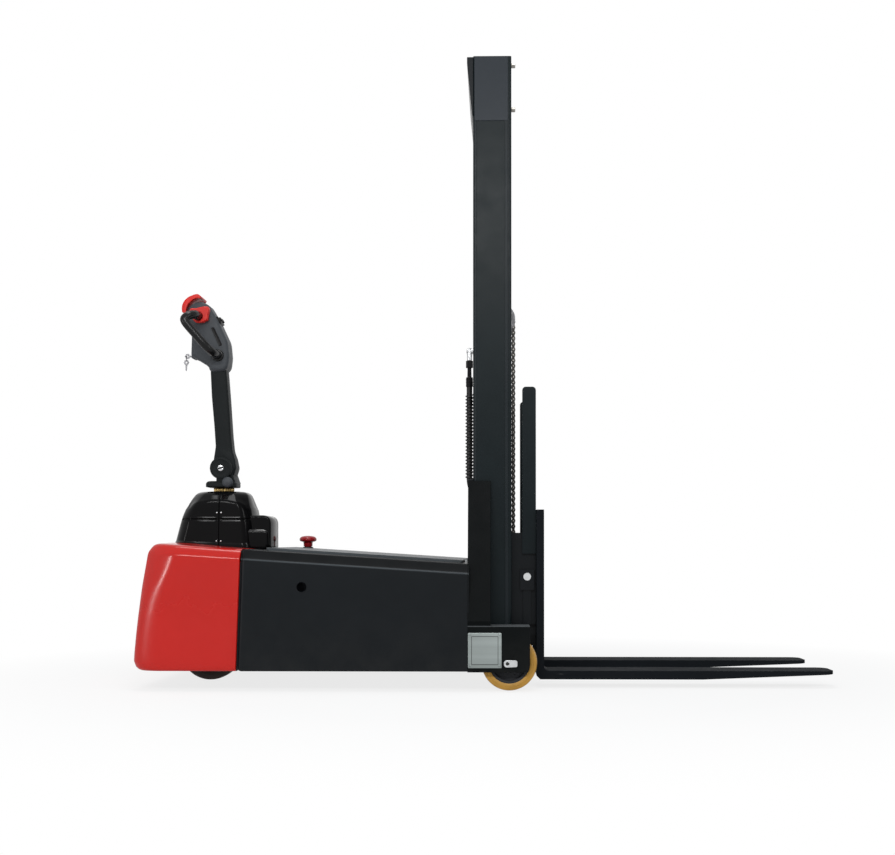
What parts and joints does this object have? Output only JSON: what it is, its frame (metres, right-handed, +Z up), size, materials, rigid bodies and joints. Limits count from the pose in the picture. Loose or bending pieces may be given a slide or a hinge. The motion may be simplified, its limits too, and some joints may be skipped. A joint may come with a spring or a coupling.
{
  "type": "electric stacker",
  "caption": "Pedestrian electric stacker: battery chassis with drive wheel and steering tiller, fixed channel mast, chain-lifted carriage and forks hung on a shaft.",
  "frame": {"origin": "on the floor, under the middle of the machine's box", "axes": "+X towards the fork tips, +Y to the machine's left, +Z up"},
  "size_m": [2.28, 0.812, 2.076],
  "materials": {
    "frame_black": "satin near-black powder coat",
    "lid_grey": "satin dark grey powder coat",
    "cover_red": "glossy red paint",
    "hood_black": "glossy black moulded plastic",
    "fork_black": "satin black paint",
    "zinc": "zinc-plated steel",
    "chrome": "hard chrome",
    "dark_steel": "oiled dark steel",
    "roller_steel": "ground steel",
    "cast_parts": "painted casting",
    "polyurethane": "ochre polyurethane tread",
    "drive_rubber": "dark tread",
    "battery_case": "battery case",
    "tank_plastic": "translucent tank plastic",
    "controller_case": "potted controller case",
    "brass": "yellow passivated nut",
    "tiller_paint": "satin black paint",
    "head_grey": "dark grey moulded plastic",
    "grip_black": "glossy black grip",
    "control_red": "red moulded plastic",
    "control_black": "black button",
    "aluminium": "bare aluminium plate",
    "hose_rubber": "black hose",
    "guard_plastic": "black spiral guard"
  },
  "bodies": {
    "chassis": {"chassis_frame": "frame_black", "drive_frame": "frame_black", "left_leg": "frame_black", "right_leg": "frame_black", "mast_channels": "frame_black", "mast_crossbeams": "frame_black", "mast_bolts": "zinc", "lift_cylinder": "frame_black", "cylinder_gland": "dark_steel", "mast_chain_anchors": "zinc", "mast_chains": "dark_steel", "rear_cover": "cover_red", "counterweights": "cast_parts", "battery": "battery_case", "pump_motor": "cast_parts", "oil_tank": "tank_plastic", "motor_controller": "controller_case", "hood_dome": "hood_black", "hood_step": "hood_black", "estop_housing": "control_red", "front_axles": "zinc", "data_plate": "aluminium", "hydraulic_hose": "hose_rubber", "hose_guard": "guard_plastic", "hose_fittings": "dark_steel", "lid_hinges": "zinc"},
    "lid": {"battery_lid": "lid_grey"},
    "estop": {"estop_button": "control_red"},
    "left_wheel": {"left_tyre": "polyurethane", "left_hub": "cast_parts"},
    "right_wheel": {"right_tyre": "polyurethane", "right_hub": "cast_parts"},
    "steering": {"drive_gearbox": "cast_parts", "traction_motor": "cast_parts", "steer_stem": "dark_steel", "stem_collar": "brass", "tiller_bracket": "cast_parts", "tiller_pin": "zinc"},
    "drive_wheel": {"drive_tyre": "drive_rubber", "drive_hub": "cast_parts"},
    "tiller": {"tiller_arm": "tiller_paint", "tiller_head": "head_grey", "hand_grips": "grip_black"},
    "throttle_wings": {"throttle": "control_red"},
    "belly_switch": {"belly_button": "control_red"},
    "lift_switch": {"lift_button": "control_black"},
    "lower_switch": {"lower_button": "control_black"},
    "key": {"ignition_key": "zinc"},
    "ram": {"lift_ram": "chrome", "crosshead": "frame_black", "ram_chains": "dark_steel"},
    "sheave_pair": {"sheaves": "dark_steel"},
    "carriage": {"carriage_frame": "frame_black", "backrest": "frame_black", "fork_shaft": "zinc", "carriage_chains": "dark_steel"},
    "upper_roller_pair": {"upper_rollers": "roller_steel"},
    "lower_roller_pair": {"lower_rollers": "roller_steel"},
    "left_fork_body": {"left_fork": "fork_black"},
    "right_fork_body": {"right_fork": "fork_black"}
  },
  "joints": [
    {"name": "lift", "type": "slide", "parent": "chassis", "child": "carriage", "axis": [0, 0, 1], "range_m": [0, 1.5], "deforming": ["carriage_chains"]},
    {"name": "ram_stroke", "type": "slide", "parent": "chassis", "child": "ram", "axis": [0, 0, 1], "range_m": [0, 0.75]},
    {"name": "sheave_spin", "type": "hinge", "parent": "ram", "child": "sheave_pair", "pos_m": [0.042, 0, 1.245], "axis": [0, -1, 0], "continuous": true},
    {"name": "upper_roller_spin", "type": "hinge", "parent": "carriage", "child": "upper_roller_pair", "pos_m": [0.02, 0, 0.45], "axis": [0, 1, 0], "continuous": true},
    {"name": "lower_roller_spin", "type": "hinge", "parent": "carriage", "child": "lower_roller_pair", "pos_m": [0.02, 0, 0.265], "axis": [0, 1, 0], "continuous": true},
    {"name": "left_fork_slide", "type": "slide", "parent": "carriage", "child": "left_fork_body", "axis": [0, -1, 0], "range_m": [0, 0.09]},
    {"name": "right_fork_slide", "type": "slide", "parent": "carriage", "child": "right_fork_body", "axis": [0, 1, 0], "range_m": [0, 0.09]},
    {"name": "left_wheel_spin", "type": "hinge", "parent": "chassis", "child": "left_wheel", "pos_m": [0.075, 0.345, 0.09], "axis": [0, 1, 0], "continuous": true},
    {"name": "right_wheel_spin", "type": "hinge", "parent": "chassis", "child": "right_wheel", "pos_m": [0.075, -0.345, 0.09], "axis": [0, 1, 0], "continuous": true},
    {"name": "steer", "type": "hinge", "parent": "chassis", "child": "steering", "pos_m": [-0.92, 0, 0.3], "axis": [0, 0, 1], "range_deg": [-90, 90]},
    {"name": "drive_spin", "type": "hinge", "parent": "steering", "child": "drive_wheel", "pos_m": [-0.96, 0, 0.105], "axis": [0, 1, 0], "continuous": true},
    {"name": "tiller_tilt", "type": "hinge", "parent": "steering", "child": "tiller", "pos_m": [-0.92, 0, 0.734], "axis": [0, -1, 0], "range_deg": [0, 75], "stiffness_Nm_per_rad": 45, "springref_deg": -28.65},
    {"name": "throttle_turn", "type": "hinge", "parent": "tiller", "child": "throttle_wings", "pos_m": [-0.999, 0, 1.259], "axis": [0, 1, 0], "range_deg": [-20, 20], "stiffness_Nm_per_rad": 2},
    {"name": "belly_press", "type": "slide", "parent": "tiller", "child": "belly_switch", "axis": [0.4659, 0, -0.8848], "range_m": [0, 0.008], "stiffness_N_per_m": 3000, "springref_m": -0.003},
    {"name": "lift_press", "type": "slide", "parent": "tiller", "child": "lift_switch", "axis": [-0.8553, 0, -0.5182], "range_m": [0, 0.004], "stiffness_N_per_m": 1500, "springref_m": -0.002},
    {"name": "lower_press", "type": "slide", "parent": "tiller", "child": "lower_switch", "axis": [-0.8553, 0, -0.5182], "range_m": [0, 0.004], "stiffness_N_per_m": 1500, "springref_m": -0.002},
    {"name": "key_turn", "type": "hinge", "parent": "tiller", "child": "key", "pos_m": [-1.03, 0, 1.129], "axis": [1, 0, 0], "range_deg": [0, 90]},
    {"name": "estop_press", "type": "slide", "parent": "chassis", "child": "estop", "axis": [0, 0, -1], "range_m": [0, 0.008], "stiffness_N_per_m": 3000, "springref_m": -0.003},
    {"name": "lid_lift", "type": "hinge", "parent": "chassis", "child": "lid", "pos_m": [-0.0681, 0, 0.41559], "axis": [0, 1, 0], "range_deg": [0, 75]}
  ],
  "couplings": [
    {"joint": "ram_stroke", "follows": "lift", "ratio": 0.5},
    {"joint": "sheave_spin", "follows": "lift", "rad_per_m": 10},
    {"joint": "upper_roller_spin", "follows": "lift", "rad_per_m": 20},
    {"joint": "lower_roller_spin", "follows": "lift", "rad_per_m": 20}
  ]
}
